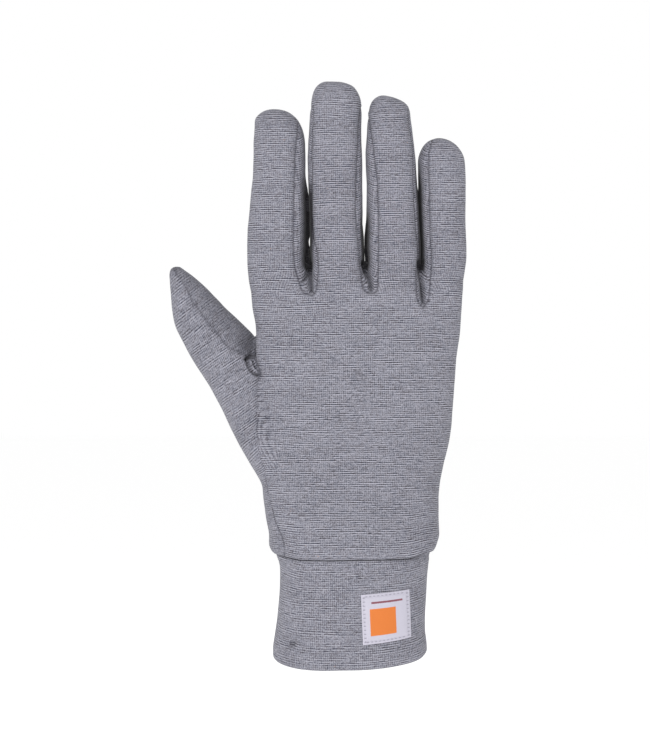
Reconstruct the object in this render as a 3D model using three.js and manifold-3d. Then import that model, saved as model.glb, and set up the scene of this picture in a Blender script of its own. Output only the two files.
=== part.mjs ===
// A right-hand knit glove liner, filled out as when it is worn, with its fingers up.
// Millimetres. The origin is the middle of the open wrist. +Z runs to the fingertips,
// +X to the little finger, and -Y out of the back of the hand.
import * as THREE from "three";
import { mergeVertices } from "three/addons/utils/BufferGeometryUtils.js";
import Module from "manifold-3d";

const wasm = await Module();
wasm.setup();

// Cloth
const KNIT_WALL = 1.5; // one layer of brushed knit
const CUFF_WALL = 2.6; // the cuff is the knit folded double
const SEAM_GAP = 0.3; // between two panels, and between the label and the cuff
const FINGER_GAP = 0.9; // between the sides of two fingers

// Cuff
const CUFF_HEIGHT = 45;
const CUFF_WIDTH = 67;
const CUFF_DEPTH = 45;
const CUFF_SHIFT = 1.4; // at the seam its middle lies this far towards the little finger
const HEM_DROP = 3.1; // the hem is this much lower at the back of the hand than at its sides
const HEM_RISE = 1.8; // and this much higher at the little finger's side than at its middle
const SEAM_DROP = 0.9; // the same two for the seam between cuff and hand
const SEAM_RISE = 1.1;

// Hand, from the cuff's seam up to the line of the V's between the fingers
const HAND_LENGTH = 114.4;
const HAND_SHIFT = 2.9; // the knuckles' middle, towards the little finger
const KNUCKLE_FRONT = 13.5; // from the middle plane out to the back of the hand
const KNUCKLE_PALM = 11.5; // and out to the palm
const WEB_RISE = 6; // the web between two fingers lies this far above its V's point
const WEB_FALL = 5.4; // the webs' line falls this much from the index to the little finger
const SHOULDER_SHARE = 0.85; // how much of the hand's size is left at the height of the webs
const SHOULDER_HEIGHT = 5.75; // and how far below them it starts to draw in
const SPLIT_SHIFT = 1.5; // the side seams lie this far to the palm from the middle plane

// Fingers, in order from the thumb. Lengths run from the line of the V's to the tips. root
// is the width at the V's, which the sections' widths and shifts are shares of, and depth
// is the thickness. arch is how far the finger lies to the palm from the middle plane. The
// two seams are placed by shares of the half width, and fall is how far the V after the
// finger lies below the line.
const FINGERS = [
  {
    length: 81.8,
    root: 25.6,
    depth: 19.5,
    arch: 0.4,
    tipRound: 13,
    leftSeam: 1,
    rightSeam: 0.6,
    fall: 0,
    sections: [
      { up: 0.2, width: 1.038, shift: -0.027 },
      { up: 0.4, width: 1.047, shift: -0.036 },
      { up: 0.6, width: 0.957, shift: -0.036 },
      { up: 0.8, width: 0.895, shift: -0.027 },
      { up: 1.0, width: 0.85, shift: -0.045 },
    ],
  },
  {
    length: 94,
    root: 25.1,
    depth: 20,
    arch: -0.8,
    tipRound: 11,
    leftSeam: 0.82,
    rightSeam: 0.72,
    fall: 0,
    sections: [
      { up: 0.2, width: 0.943, shift: -0.028 },
      { up: 0.4, width: 0.943, shift: -0.083 },
      { up: 0.6, width: 0.952, shift: -0.102 },
      { up: 0.8, width: 0.915, shift: -0.092 },
      { up: 1.0, width: 0.86, shift: -0.12 },
    ],
  },
  {
    length: 87.9,
    root: 21.9,
    depth: 19,
    arch: -0.4,
    tipRound: 13,
    leftSeam: 0.7,
    rightSeam: 0.8,
    fall: 5.5,
    sections: [
      { up: 0.2, width: 1.026, shift: -0.04 },
      { up: 0.4, width: 1.026, shift: -0.069 },
      { up: 0.6, width: 1.006, shift: -0.089 },
      { up: 0.8, width: 0.927, shift: -0.118 },
      { up: 1.0, width: 0.829, shift: -0.187 },
    ],
  },
  {
    length: 69,
    root: 18.6,
    depth: 17,
    arch: 1.6,
    tipRound: 12,
    leftSeam: 0.6,
    rightSeam: 1,
    fall: 0,
    sections: [
      { up: 0.2, width: 1.085, shift: 0.022 },
      { up: 0.4, width: 1.13, shift: 0.022 },
      { up: 0.6, width: 1.13, shift: 0.011 },
      { up: 0.8, width: 1.108, shift: 0 },
      { up: 1.0, width: 1.041, shift: -0.022 },
    ],
  },
];
const FINGER_BEND = 5; // how far the tips lean towards the palm
const FINGER_SINK = 15; // how far a finger's form runs down into the hand's
const SUNK_SHARE = 0.72; // and how much of its size it has left down there
const KNUCKLE_FADE = 0.3; // the share of a finger over which it thins from the knuckles' depth

// Thumb, from its root at the hand's edge up to its tip
const THUMB_ROOT = 31; // above the cuff's seam
const THUMB_LENGTH = 96.2;
const THUMB_SPREAD = 38; // how far it stands out from the hand's edge
const THUMB_DEPTH = 21;
const THUMB_LEAN = 9; // how far the tip lies towards the palm

// Label
const LABEL_WIDTH = 21.6;
const LABEL_HEIGHT = 21.2;
const LABEL_THICKNESS = 0.6;
const LABEL_SIDE = 14.2; // its middle, from the cuff's middle towards the little finger
const LABEL_UP = 20.5; // its middle, above the middle of the wrist
const LABEL_SLOPE = -0.02; // how its rows rise towards the little finger, beside the cuff's

// How square the outlines are: 2 is an ellipse, and more is squarer.
const CUFF_ROUND = 2.2;
const HAND_ROUND = 2.5;
const FINGER_ROUND = 2.25;
const TIP_ROUND = 2.4;
const TIP_FLAT = 0.2; // the flat end of a fingertip, as a share of the finger's width

// Flat faces around each form
const HAND_SIDES = 24;
const FINGER_SIDES = 14;
const THUMB_SIDES = 16;

// Where the forms have their sections: how many equal steps, or the shares of a height
const CUFF_STEPS = 4;
const HAND_STEPS = 8;
const FINGER_STEPS = 4;
const SHOULDER_STEPS = [0.6, 0.9, 1];
const TIP_STEPS = [0.5, 0.82, 1];
const THUMB_STEPS = [0, 0.1, 0.22, 0.34, 0.46, 0.57, 0.66, 0.75, 0.84, 0.92, 1];
const SPLIT_STEPS = [-1, 0, 0.25, 0.5, 0.75, 1, 1.3];

// Looks
const KNIT_GREY = 0x92919b;
const LABEL_WHITE = 0xc6c3d1;
const KNIT_ROUGHNESS = 0.95;
const LABEL_ROUGHNESS = 0.6;

// The cuff's outline. up is a share of its height, and the rest are shares of its sizes.
const CUFF_SECTIONS = [
  { up: 0, width: 1, depth: 1, shift: 0 },
  { up: 0.25, width: 0.99, depth: 0.99, shift: 0.2 },
  { up: 0.55, width: 0.975, depth: 0.975, shift: 0.75 },
  { up: 1, width: 0.985, depth: 0.96, shift: 1 },
];

// The hem's fold, from its lowest line out and up to the face, in shares of the wall
const HEM_FOLD = [
  { inset: 0.5, up: 0 },
  { inset: 0.15, up: 0.15 },
  { inset: 0, up: 0.55 },
];

// The hand's outline. up is a share of its length. The others say how far each side has come
// from the cuff's outline, at 0, to the knuckles', at 1. The cloth bulges over the seam.
const HAND_SECTIONS = [
  { up: 0, left: 0, right: 0, front: 0, palm: 0 },
  { up: 0.03, left: 0.24, right: 0.2, front: -0.12, palm: -0.12 },
  { up: 0.08, left: 0.33, right: 0.3, front: -0.1, palm: -0.16 },
  { up: 0.2, left: 0.5, right: 0.31, front: 0.12, palm: -0.12 },
  { up: 0.35, left: 0.66, right: 0.43, front: 0.37, palm: -0.05 },
  { up: 0.55, left: 0.74, right: 0.66, front: 0.62, palm: 0.12 },
  { up: 0.75, left: 0.83, right: 0.82, front: 0.79, palm: 0.45 },
  { up: 0.9, left: 0.86, right: 0.94, front: 0.9, palm: 0.78 },
  { up: 1, left: 0.95, right: 0.98, front: 1.02, palm: 1 },
];

// The thumb's outline. up is a share of its length. out and in are how far its two edges
// stand out from the hand's edge, in shares of its spread, deep is a share of its depth
// and lean of its lean.
const THUMB_SECTIONS = [
  { up: 0, out: -0.12, in: -0.3, deep: 1.1, lean: 0 },
  { up: 0.09, out: 0.09, in: -0.38, deep: 1.45, lean: 0.1 },
  { up: 0.28, out: 0.34, in: -0.4, deep: 1.48, lean: 0.3 },
  { up: 0.46, out: 0.55, in: -0.32, deep: 1.32, lean: 0.45 },
  { up: 0.55, out: 0.7, in: -0.2, deep: 1.2, lean: 0.5 },
  { up: 0.645, out: 0.83, in: -0.03, deep: 1.08, lean: 0.6 },
  { up: 0.71, out: 0.915, in: 0.1, deep: 1, lean: 0.67 },
  { up: 0.8, out: 0.94, in: 0.31, deep: 0.9, lean: 0.78 },
  { up: 0.89, out: 0.94, in: 0.49, deep: 0.75, lean: 0.88 },
  { up: 0.95, out: 0.94, in: 0.63, deep: 0.56, lean: 0.94 },
  { up: 1, out: 0.92, in: 0.78, deep: 0.3, lean: 1 },
];

// Where the thumb is set into the hand, on the back and on the palm. up is a share of its
// length, and in is how far the seam lies inside the hand's edge, as a share of its spread.
const THUMB_SEAM_BACK = [
  { up: 1.1, in: -0.05 },
  { up: 0.7, in: -0.04 },
  { up: 0.655, in: -0.01 },
  { up: 0.62, in: 0.03 },
  { up: 0.48, in: 0.03 },
  { up: 0.24, in: 0.01 },
  { up: 0.155, in: -0.04 },
  { up: 0.1, in: -0.15 },
  { up: 0.07, in: -0.4 },
];
const THUMB_SEAM_PALM = [
  { up: 1.1, in: -0.05 },
  { up: 0.7, in: -0.04 },
  { up: 0.655, in: -0.01 },
  { up: 0.62, in: 0.05 },
  { up: 0.45, in: 0.26 },
  { up: 0.27, in: 0.36 },
  { up: 0.16, in: 0.22 },
  { up: 0.12, in: 0.02 },
  { up: 0.1, in: -0.15 },
  { up: 0.07, in: -0.4 },
];

// The seam along the thumb. across is a share of the way from its outer to its inner edge.
const THUMB_LENGTH_SEAM = [
  { up: 1.1, across: 0.45 },
  { up: 0.97, across: 0.42 },
  { up: 0.87, across: 0.43 },
  { up: 0.76, across: 0.49 },
  { up: 0.68, across: 0.54 },
  { up: 0.625, across: 0.7 },
  { up: 0.58, across: 0.95 },
];

// How a fourchette's seam opens above its V and closes at the fingertip. rise is a share of
// the V's or the tip's height, and edge how far it has gone from its place to the edge.
const V_HEIGHT = 14;
const FOURCHETTE_FOOT = [
  { rise: 0.28, edge: 0.15 },
  { rise: 0.6, edge: 0.05 },
  { rise: 1, edge: 0 },
];
const FOURCHETTE_TIP = [
  { rise: 0, edge: 0 },
  { rise: 0.5, edge: 0.45 },
  { rise: 1, edge: 1.3 },
];

const mix = THREE.MathUtils.lerp;
const CROTCH_Z = CUFF_HEIGHT + HAND_LENGTH;
const KNUCKLE_WIDTH =
  FINGERS.reduce((sum, finger) => sum + finger.root, 0) + FINGER_GAP * (FINGERS.length - 1);
const KNUCKLES = {
  left: HAND_SHIFT - KNUCKLE_WIDTH / 2,
  right: HAND_SHIFT + KNUCKLE_WIDTH / 2,
  front: -KNUCKLE_FRONT,
  palm: KNUCKLE_PALM,
};
const FAR = 400; // past every form, for the solids that cut

let nextEdge = KNUCKLES.left;
for (const finger of FINGERS) {
  finger.middle = nextEdge + finger.root / 2;
  nextEdge += finger.root + FINGER_GAP;
}

// A smooth curve through one column of a table whose rows go one way in up.
function column(rows, name) {
  const slopes = rows.map((row, i) => {
    const before = rows[Math.max(0, i - 1)];
    const after = rows[Math.min(rows.length - 1, i + 1)];
    return (after[name] - before[name]) / (after.up - before.up);
  });
  return (up) => {
    const next = rows.findIndex((row) => row.up > up);
    if (next === 0) return rows[0][name];
    if (next < 0) return rows[rows.length - 1][name];
    const low = rows[next - 1];
    const high = rows[next];
    const span = high.up - low.up;
    const t = (up - low.up) / span;
    const rise = high[name] - low[name];
    const leave = slopes[next - 1] * span - rise;
    const arrive = rise - slopes[next] * span;
    return mix(low[name], high[name], t) + t * (1 - t) * mix(leave, arrive, t);
  };
}

// A closed surface as a solid.
function solidOf(geometry) {
  geometry.deleteAttribute("normal");
  geometry.deleteAttribute("uv");
  const merged = mergeVertices(geometry, 1e-4);
  return new wasm.Manifold(
    new wasm.Mesh({
      numProp: 3,
      vertProperties: merged.attributes.position.array,
      triVerts: new Uint32Array(merged.index.array),
    }),
  );
}

// The points around one section, which tilts by its rises and is drawn in by an inset.
function ring(section, sides, round, inset = 0) {
  const { left, right, front, palm, z, riseX = 0, riseY = 0 } = section;
  const middle = new THREE.Vector2((left + right) / 2, (front + palm) / 2);
  const half = new THREE.Vector2((right - left) / 2 - inset, (palm - front) / 2 - inset);
  const points = [];
  for (let i = 0; i < sides; i++) {
    const angle = (2 * Math.PI * i) / sides;
    const across = Math.sign(Math.cos(angle)) * Math.abs(Math.cos(angle)) ** (2 / round);
    const deep = Math.sign(Math.sin(angle)) * Math.abs(Math.sin(angle)) ** (2 / round);
    const x = half.x * across;
    const y = middle.y + half.y * deep;
    points.push(middle.x + x, y, z + riseX * x + riseY * y);
  }
  return points;
}

// A closed solid over rings that follow each other upwards. A hoop joins its last ring to
// its first, and any other is closed by a flat cap at each end.
function loft(rings, sides, hoop = false) {
  const faces = [];
  const bands = hoop ? rings.length : rings.length - 1;
  for (let k = 0; k < bands; k++) {
    const low = k * sides;
    const high = ((k + 1) % rings.length) * sides;
    for (let i = 0; i < sides; i++) {
      const j = (i + 1) % sides;
      faces.push(low + i, low + j, high + j, low + i, high + j, high + i);
    }
  }
  if (!hoop) {
    const top = (rings.length - 1) * sides;
    for (let i = 1; i < sides - 1; i++) {
      faces.push(0, i + 1, i, top, top + i, top + i + 1);
    }
  }
  const geometry = new THREE.BufferGeometry();
  geometry.setAttribute("position", new THREE.Float32BufferAttribute(rings.flat(), 3));
  geometry.setIndex(faces);
  return solidOf(geometry);
}

// A flat shape of [x, z] points, pulled through along all of Y.
function pulledY(points) {
  const shape = new THREE.Shape(points.map(([x, z]) => new THREE.Vector2(x, z)));
  const geometry = new THREE.ExtrudeGeometry(shape, { depth: 2 * FAR, bevelEnabled: false });
  return solidOf(geometry.rotateX(Math.PI / 2).translate(0, FAR, 0));
}

// A flat shape of [y, z] points, pulled through along all of X.
function pulledX(points) {
  const shape = new THREE.Shape(points.map(([y, z]) => new THREE.Vector2(y, z)));
  const geometry = new THREE.ExtrudeGeometry(shape, { depth: 2 * FAR, bevelEnabled: false });
  const [alongX, alongY, alongZ] = [0, 1, 2].map((axis) => new THREE.Vector3().setComponent(axis, 1));
  const turn = new THREE.Matrix4().makeBasis(alongY, alongZ, alongX);
  return solidOf(geometry.applyMatrix4(turn).translate(-FAR, 0, 0));
}

// Heights from low to high, in equal steps.
function steps(low, high, count) {
  return Array.from({ length: count + 1 }, (_, i) => mix(low, high, i / count));
}

// A section drawn in to a share of its size, about its middle.
function drawnIn(section, share) {
  const { left, right, front, palm } = section;
  const x = (left + right) / 2;
  const y = (front + palm) / 2;
  return {
    ...section,
    left: mix(x, left, share),
    right: mix(x, right, share),
    front: mix(y, front, share),
    palm: mix(y, palm, share),
  };
}

// The cuff's outline at a share of its height.
function cuffAt(up) {
  const half = (CUFF_WIDTH * column(CUFF_SECTIONS, "width")(up)) / 2;
  const deep = (CUFF_DEPTH * column(CUFF_SECTIONS, "depth")(up)) / 2;
  const middle = CUFF_SHIFT * column(CUFF_SECTIONS, "shift")(up);
  return {
    left: middle - half,
    right: middle + half,
    front: -deep,
    palm: deep,
    z: CUFF_HEIGHT * up,
    riseX: mix(HEM_RISE, SEAM_RISE, up) / half,
    riseY: mix(HEM_DROP, SEAM_DROP, up) / deep,
  };
}

// The hand's outline at a height. Its tilt goes from the cuff's to that of the webs' line.
function handAt(z) {
  const up = (z - CUFF_HEIGHT) / HAND_LENGTH;
  const wrist = cuffAt(1);
  const side = (name) => mix(wrist[name], KNUCKLES[name], column(HAND_SECTIONS, name)(up));
  return {
    left: side("left"),
    right: side("right"),
    front: side("front"),
    palm: side("palm"),
    z,
    riseX: wrist.riseX * Math.max(0, 1 - up) - (WEB_FALL / KNUCKLE_WIDTH) * Math.max(0, up),
    riseY: wrist.riseY * Math.max(0, 1 - up),
  };
}

// A finger's outline at a height, before its tip is rounded.
function fingerAt(finger, z) {
  const up = (z - CROTCH_Z) / finger.length;
  const root = { width: 1, shift: 0 };
  const rows = [{ up: -0.2, ...root }, { up: 0, ...root }, ...finger.sections];
  const middle = finger.middle + finger.root * column(rows, "shift")(up);
  const half = (finger.root * column(rows, "width")(up)) / 2;
  const bend = finger.arch + FINGER_BEND * Math.max(0, up) ** 2;
  const knuckle = Math.max(0, 1 - Math.max(0, up) / KNUCKLE_FADE);
  return {
    left: middle - half,
    right: middle + half,
    front: bend - mix(finger.depth / 2, KNUCKLE_FRONT, knuckle),
    palm: bend + mix(finger.depth / 2, KNUCKLE_PALM, knuckle),
    z,
  };
}

// The thumb's height and outline at a share of its length.
const thumbZ = (up) => CUFF_HEIGHT + THUMB_ROOT + THUMB_LENGTH * up;
const handEdge = (up) => handAt(Math.min(thumbZ(up), CROTCH_Z)).left;
function thumbAt(up) {
  const deep = (THUMB_DEPTH * column(THUMB_SECTIONS, "deep")(up)) / 2;
  const middle = THUMB_LEAN * column(THUMB_SECTIONS, "lean")(up);
  return {
    left: handEdge(up) - THUMB_SPREAD * column(THUMB_SECTIONS, "out")(up),
    right: handEdge(up) - THUMB_SPREAD * column(THUMB_SECTIONS, "in")(up),
    front: middle - deep,
    palm: middle + deep,
    z: thumbZ(up),
  };
}

// Each form is built twice: as it is, and drawn in by the wall for its hollow.
function handForm(inset) {
  const bottom = CUFF_HEIGHT + SEAM_GAP;
  const top = CROTCH_Z + WEB_RISE - inset;
  const shoulder = top - SHOULDER_HEIGHT;
  const tuck = CUFF_HEIGHT + HAND_SECTIONS[1].up * HAND_LENGTH;
  const heights = [bottom, ...steps(tuck, shoulder, HAND_STEPS)];
  const rings = heights.map((z) => ring(handAt(z), HAND_SIDES, HAND_ROUND, inset));
  if (inset) {
    const below = { ...handAt(bottom), z: bottom - CUFF_WALL };
    rings.unshift(ring(below, HAND_SIDES, HAND_ROUND, inset));
  }
  for (const t of SHOULDER_STEPS) {
    const share = mix(SHOULDER_SHARE, 1, Math.sqrt(1 - t * t));
    const section = drawnIn(handAt(mix(shoulder, top, t)), share);
    rings.push(ring(section, HAND_SIDES, HAND_ROUND, inset));
  }
  return loft(rings, HAND_SIDES);
}

function fingerForm(finger, inset) {
  const dome = CROTCH_Z + finger.length - finger.tipRound;
  const low = CROTCH_Z - FINGER_SINK;
  const sunk = drawnIn(fingerAt(finger, low), SUNK_SHARE);
  const belowWeb = CROTCH_Z - FINGER_SINK / 3;
  const heights = [belowWeb, ...steps(CROTCH_Z + WEB_RISE / 2, dome, FINGER_STEPS)];
  const rings = [sunk, ...heights.map((z) => fingerAt(finger, z))].map((section) =>
    ring(section, FINGER_SIDES, FINGER_ROUND, inset),
  );
  for (const t of TIP_STEPS) {
    const share = Math.max(TIP_FLAT, (1 - t ** TIP_ROUND) ** (1 / TIP_ROUND));
    const section = fingerAt(finger, dome + (finger.tipRound - inset) * t);
    rings.push(ring(drawnIn(section, share), FINGER_SIDES, FINGER_ROUND, inset * share));
  }
  return loft(rings, FINGER_SIDES);
}

function thumbForm(inset) {
  const tip = 1 - inset / THUMB_LENGTH;
  const rings = THUMB_STEPS.map((share) => {
    const section = thumbAt(share * tip);
    const narrow = Math.min(section.right - section.left, section.palm - section.front);
    const wall = Math.min(inset, narrow / 4);
    return ring(section, THUMB_SIDES, FINGER_ROUND, wall);
  });
  return loft(rings, THUMB_SIDES);
}

// The cloth of hand, fingers and thumb in one, still uncut, with its open hollow
const forms = (inset) => [
  handForm(inset),
  ...FINGERS.map((finger) => fingerForm(finger, inset)),
  thumbForm(inset),
];
const joined = (solids) => solids.reduce((all, solid) => all.add(solid));
const cloth = joined(forms(0)).subtract(joined(forms(KNIT_WALL)));

// The middle plane of the side seams, which follows the fingers' bend. It is moved by shift.
function palmSide(shift) {
  const middle = FINGERS[1];
  const line = SPLIT_STEPS.map((up) => [
    SPLIT_SHIFT + shift + FINGER_BEND * Math.max(0, up) ** 2,
    CROTCH_Z + middle.length * up,
  ]);
  return pulledX([[line[0][0], -FAR], ...line, [line.at(-1)[0], FAR], [FAR, FAR], [FAR, -FAR]]);
}

// A line of [x, z] points moved to the left of the way it runs.
function beside(line, distance) {
  return line.map(([x, z], i) => {
    const [x0, z0] = line[Math.max(0, i - 1)];
    const [x1, z1] = line[Math.min(line.length - 1, i + 1)];
    const out = new THREE.Vector2(z0 - z1, x1 - x0).setLength(distance);
    return [x + out.x, z + out.y];
  });
}

// The space of a fourchette between two fingers, grown by a gap. Each side's line runs up
// from the V's point, and the space is what lies between the two.
function fourchetteSpace(before, after, grow) {
  const foot = CROTCH_Z - before.fall;
  const valley = (before.middle + before.root / 2 + after.middle - after.root / 2) / 2;
  const side = (finger, sign, place) => {
    const dome = CROTCH_Z + finger.length - finger.tipRound;
    const at = (z, edge) => {
      const { left, right } = fingerAt(finger, z);
      return [(left + right) / 2 + (sign * (right - left) * mix(place, 1, edge)) / 2, z];
    };
    return [
      ...FOURCHETTE_FOOT.map(({ rise, edge }) => at(foot + V_HEIGHT * rise, edge)),
      ...[1, 2].map((third) => at(mix(foot + V_HEIGHT, dome, third / 3), 0)),
      ...FOURCHETTE_TIP.map(({ rise, edge }) => at(dome + finger.tipRound * rise, edge)),
    ];
  };
  const point = [valley, foot - 2 * grow];
  const half = (line, far) =>
    pulledY(
      far < 0
        ? [point, ...line, [line.at(-1)[0], FAR], [far, FAR], [far, point[1]]]
        : [point, [far, point[1]], [far, FAR], [line.at(-1)[0], FAR], ...line.reverse()],
    );
  const rightOf = half(beside(side(before, 1, before.rightSeam), grow), FAR);
  const leftOf = half(beside(side(after, -1, after.leftSeam), -grow), -FAR);
  return rightOf.intersect(leftOf);
}

// What lies on the thumb's side of one of its seams, grown by a gap.
function thumbSpace(seam, grow) {
  const places = seam.map(({ up, in: inside }) => [handEdge(up) + THUMB_SPREAD * inside, thumbZ(up)]);
  const line = beside(places, grow);
  return pulledY([...line, [-FAR, line.at(-1)[1]], [-FAR, FAR], [line[0][0], FAR]]);
}

// The space of the thumb's inner strip, grown by a gap.
function thumbInnerSpace(grow) {
  const places = THUMB_LENGTH_SEAM.map(({ up, across }) => {
    const { left, right } = thumbAt(up);
    return [mix(left, right, across), thumbZ(up)];
  });
  const line = beside(places, -grow);
  return pulledY([...line, [0, line.at(-1)[1]], [0, FAR], [line[0][0], FAR]]);
}

// The space of the whole thumb, whose seam differs on the two faces of the hand
const thumbSpaceOf = (grow) =>
  joined([
    thumbSpace(THUMB_SEAM_BACK, grow).subtract(palmSide(grow)),
    thumbSpace(THUMB_SEAM_PALM, grow).intersect(palmSide(-grow)),
  ]);

// The panels, cut out of the cloth along their seams
const between = FINGERS.slice(0, -1).map((finger, i) => [finger, FINGERS[i + 1]]);
const thumb = cloth.intersect(thumbSpaceOf(0));
const trunk = between.reduce(
  (rest, [before, after]) => rest.subtract(fourchetteSpace(before, after, SEAM_GAP)),
  cloth.subtract(thumbSpaceOf(SEAM_GAP)),
);
const panels = {
  hand_back: trunk.subtract(palmSide(0)),
  hand_palm: trunk.intersect(palmSide(SEAM_GAP)),
  fourchette_index_middle: cloth.intersect(fourchetteSpace(...between[0], 0)),
  fourchette_middle_ring: cloth.intersect(fourchetteSpace(...between[1], 0)),
  fourchette_ring_little: cloth.intersect(fourchetteSpace(...between[2], 0)),
  thumb_outer: thumb.subtract(thumbInnerSpace(SEAM_GAP)),
  thumb_inner: thumb.intersect(thumbInnerSpace(0)),
};

// The cuff is one hoop: up its outer face, over the seam, down inside and round the hem.
function cuff() {
  const rise = HEM_FOLD.at(-1).up * CUFF_WALL;
  const outer = [
    ...HEM_FOLD.map(({ inset, up }) => ({ inset, z: up * CUFF_WALL })),
    ...steps(rise, CUFF_HEIGHT, CUFF_STEPS).slice(1).map((z) => ({ inset: 0, z })),
  ];
  const inner = outer.slice(1).reverse().map(({ inset, z }) => ({ inset: 1 - inset, z }));
  const rings = [...outer, ...inner].map(({ inset, z }) =>
    ring(cuffAt(z / CUFF_HEIGHT), HAND_SIDES, CUFF_ROUND, inset * CUFF_WALL),
  );
  return loft(rings, HAND_SIDES, true);
}

// The label is a thin plate bent round the cuff's face.
function label() {
  const geometry = new THREE.BoxGeometry(LABEL_WIDTH, LABEL_THICKNESS, LABEL_HEIGHT, 6, 1, 2);
  const place = geometry.attributes.position;
  for (let i = 0; i < place.count; i++) {
    const x = LABEL_SIDE + place.getX(i);
    const up = (LABEL_UP + place.getZ(i) + LABEL_SLOPE * place.getX(i)) / CUFF_HEIGHT;
    const { left, right, palm, riseX, riseY } = cuffAt(up);
    const half = (right - left) / 2;
    const share = Math.abs(x) / half;
    const deep = (1 - share ** CUFF_ROUND) ** (1 / CUFF_ROUND);
    const out = new THREE.Vector2(
      (Math.sign(x) * share ** (CUFF_ROUND - 1)) / half,
      -(deep ** (CUFF_ROUND - 1)) / palm,
    ).setLength(SEAM_GAP + LABEL_THICKNESS / 2 - place.getY(i));
    const y = out.y - palm * deep;
    place.setXYZ(i, (left + right) / 2 + x + out.x, y, CUFF_HEIGHT * up + riseX * x + riseY * y);
  }
  return solidOf(geometry);
}

const knit = () => new THREE.MeshStandardMaterial({ color: KNIT_GREY, roughness: KNIT_ROUGHNESS });
const satin = () => new THREE.MeshStandardMaterial({ color: LABEL_WHITE, roughness: LABEL_ROUGHNESS });

// The largest body of a cut solid. What falls off is dust along the cuts.
function meshOf(name, solid, material) {
  const bodies = solid.decompose();
  const body = bodies.reduce((best, one) => (one.volume() > best.volume() ? one : best));
  const { vertProperties, triVerts } = body.getMesh();
  const geometry = new THREE.BufferGeometry();
  geometry.setAttribute("position", new THREE.BufferAttribute(new Float32Array(vertProperties), 3));
  geometry.setIndex(new THREE.BufferAttribute(new Uint32Array(triVerts), 1));
  geometry.computeVertexNormals();
  const mesh = new THREE.Mesh(geometry, material);
  mesh.name = name;
  return mesh;
}

const glove = new THREE.Group();
for (const [name, solid] of Object.entries(panels)) {
  glove.add(meshOf(name, solid, knit()));
}
glove.add(meshOf("cuff", cuff(), knit()));
glove.add(meshOf("cuff_label", label(), satin()));

export default glove;
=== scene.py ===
import math

import bmesh
import bpy
import numpy as np
from mathutils import Matrix, Vector, kdtree, noise


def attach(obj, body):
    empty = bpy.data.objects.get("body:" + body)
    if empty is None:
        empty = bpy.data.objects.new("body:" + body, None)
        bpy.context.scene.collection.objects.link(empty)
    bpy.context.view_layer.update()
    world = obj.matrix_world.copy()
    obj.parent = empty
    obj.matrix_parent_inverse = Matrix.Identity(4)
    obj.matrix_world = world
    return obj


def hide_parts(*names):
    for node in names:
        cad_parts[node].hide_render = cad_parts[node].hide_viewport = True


# A right-hand knit glove liner, filled out as when it is worn, seen from the back of the
# hand. All lengths are millimetres until a piece is finished, and then metres. +Z runs to
# the fingertips, +X to the little finger and -Y out of the back of the hand.

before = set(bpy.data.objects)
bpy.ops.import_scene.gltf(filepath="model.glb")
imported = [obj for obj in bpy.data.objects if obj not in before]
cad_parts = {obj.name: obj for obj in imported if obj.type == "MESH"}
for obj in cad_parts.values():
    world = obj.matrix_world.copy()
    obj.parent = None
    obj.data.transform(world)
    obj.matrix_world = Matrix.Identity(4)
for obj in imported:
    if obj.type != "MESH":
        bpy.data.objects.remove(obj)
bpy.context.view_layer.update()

MM = 0.001

# Cloth walls
KNIT_WALL = 1.4
CUFF_WALL = 2.4

# The seam between hand and cuff: its height, middle, tilts and the curve at its two ends
CUFF_TOP = 45.0
CUFF_HALF = 33.5
SEAM_MIDDLE = 1.4
SEAM_LIFT = 0.4
SEAM_TILT = 0.015
SEAM_DROP = 0.05
SEAM_HOOK = 1.3

# The size of the remeshed skin's squares, and how near a cut its points are moved onto it
VOXEL = 0.8
SNAP = 0.2

# How the outlines round off: 2 is an ellipse, and more is squarer
HAND_ROUND = 2.5
FINGER_ROUND = 2.3
CUFF_ROUND = 2.2
TIP_ROUND = 2.3
TIP_HEIGHT = 11.0

# The hand's outline: height, left edge, right edge, back and palm
HAND = [
    (38, -31.5, 34.0, -20.5, 20.5),
    (43.5, -32.6, 35.0, -21.3, 21.3),
    (45.5, -34.6, 36.8, -22.6, 22.6),
    (49.3, -35.7, 38.2, -23.0, 23.2),
    (53.7, -35.6, 39.1, -22.8, 23.3),
    (58, -36.2, 38.9, -22.2, 23.2),
    (67, -37.8, 38.9, -20.8, 22.8),
    (76, -38.7, 39.4, -19.7, 22.4),
    (85, -39.4, 41.2, -18.6, 22.1),
    (94, -40.2, 43.4, -17.7, 21.5),
    (108, -40.4, 45.2, -16.6, 20.4),
    (120, -40.4, 46.0, -15.8, 18.8),
    (131, -42.0, 46.8, -15.2, 17.1),
    (144, -41.3, 48.5, -14.4, 14.4),
    (153, -42.9, 49.1, -13.8, 12.8),
    (160, -43.5, 49.4, -13.2, 11.5),
    (174, -45.2, 50.8, -13.0, 11.0),
]
HAND_LOW = 38.0
HAND_TOP = 172.5
HAND_SHOULDER = 157.0
SHOULDER_DRAW = 6.0
HAND_MIDDLE = 2.9
HAND_HALF = 47.5

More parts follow.
